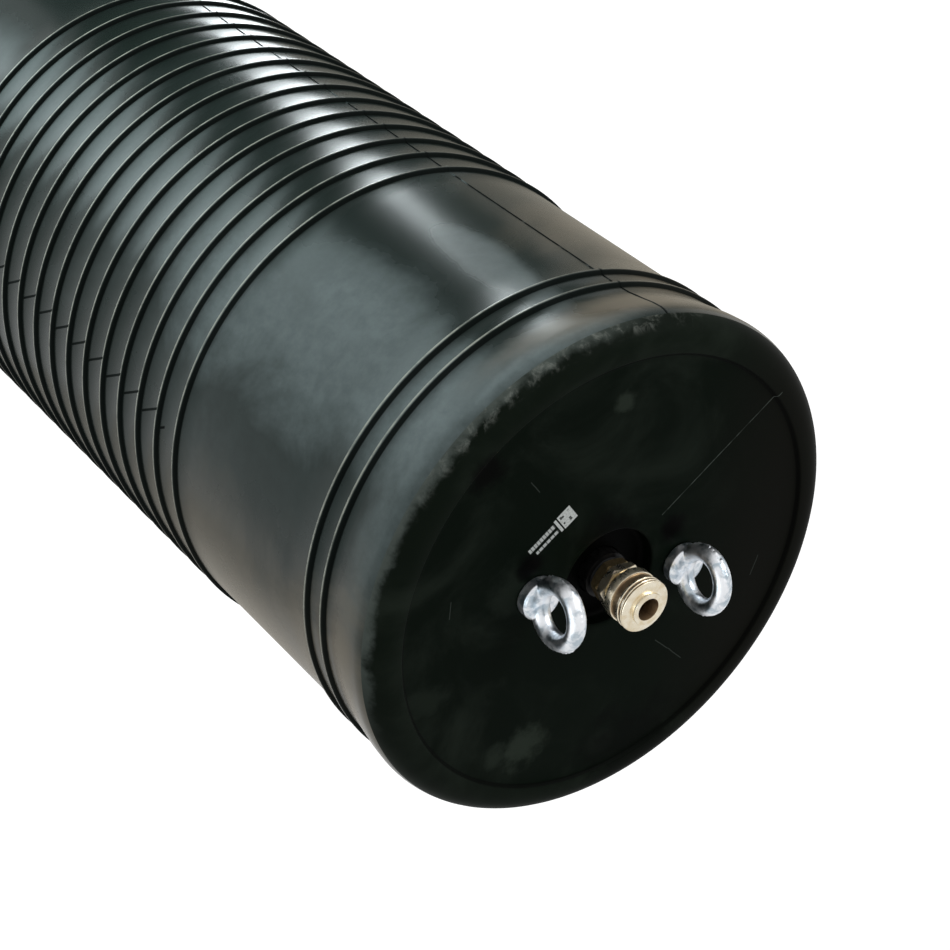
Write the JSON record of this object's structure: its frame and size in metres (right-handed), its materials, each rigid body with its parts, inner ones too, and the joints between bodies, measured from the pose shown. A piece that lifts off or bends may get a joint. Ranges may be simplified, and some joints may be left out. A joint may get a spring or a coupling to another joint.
{
  "type": "inflatable pipe plug",
  "caption": "Ribbed black rubber pipe plug with a flat end that carries lifting eye bolts and a brass hose connector for the filling air.",
  "frame": {"origin": "centre of the flat rear end, on which the plug stands", "axes": "+Z along the plug's axis, from the plain rear end towards the end with the fittings; the two eye bolts stand on the X axis"},
  "size_m": [0.282, 0.282, 0.7012],
  "materials": {
    "rubber": "cloudy satin",
    "dark_steel": "blackened",
    "zinc": "bright zinc over a forged skin",
    "brass": "pale turned brass",
    "tarnished_brass": "tarnished",
    "seal": "matte"
  },
  "bodies": {
    "root": {"rubber_body": "rubber", "front_end_plate": "dark_steel", "inlet_socket": "dark_steel", "left_eye_socket": "dark_steel", "right_eye_socket": "dark_steel", "left_eye_bolt": "zinc", "right_eye_bolt": "zinc", "inlet_seal_washer": "seal", "inlet_nipple": "tarnished_brass", "lock_nut": "brass", "hose_connector": "brass", "connector_seal": "seal"}
  },
  "joints": []
}
